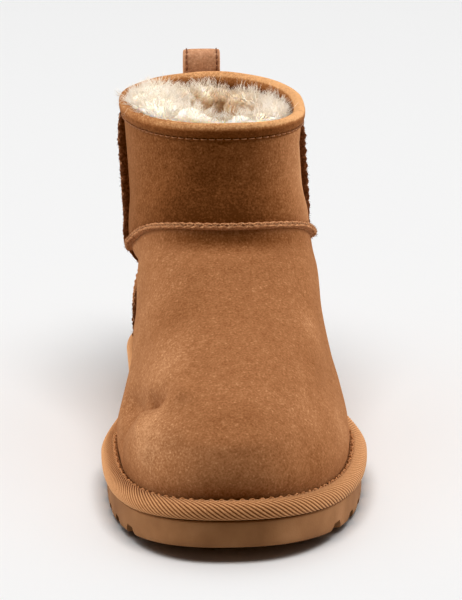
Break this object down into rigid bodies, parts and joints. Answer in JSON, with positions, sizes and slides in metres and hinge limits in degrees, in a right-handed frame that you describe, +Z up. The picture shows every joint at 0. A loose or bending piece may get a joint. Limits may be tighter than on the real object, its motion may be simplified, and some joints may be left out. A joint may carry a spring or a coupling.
{
  "type": "slipper boot",
  "caption": "Ankle-high slipper boot for the left foot: suede upper, deep fleece lining, rolled tape welt, moulded sole with grooves and a heel pull loop.",
  "frame": {"origin": "on the floor below the middle of the whole boot's box", "axes": "+Y towards the heel, so the toe points along -Y; +X towards the outer side of the left foot; +Z up"},
  "size_m": [0.1088, 0.266, 0.1474],
  "materials": {
    "moulded_sole": "matte foamed sole compound, tan",
    "woven_tape": "twill tape rolled round a cord, diagonal ribs",
    "suede": "brushed suede, chestnut, fine nap",
    "wool_felt": "wool felt, cream",
    "fleece": "deep wool pile, cream",
    "binding_suede": "suede strip turned over the rim",
    "cut_edge_suede": "raw cut suede edges, darker than the face",
    "counter_suede": "brushed suede, chestnut",
    "strap_suede": "suede-faced strap"
  },
  "bodies": {
    "root": {"outsole": "moulded_sole", "welt_binding": "woven_tape", "upper": "suede", "insole": "wool_felt", "fleece_lining": "fleece", "collar_binding": "binding_suede", "side_seam_outer_shaft": "cut_edge_suede", "side_seam_outer_foot": "cut_edge_suede", "side_seam_inner_shaft": "cut_edge_suede", "side_seam_inner_foot": "cut_edge_suede", "instep_seam": "cut_edge_suede", "heel_counter": "counter_suede", "pull_loop": "strap_suede"}
  },
  "joints": []
}
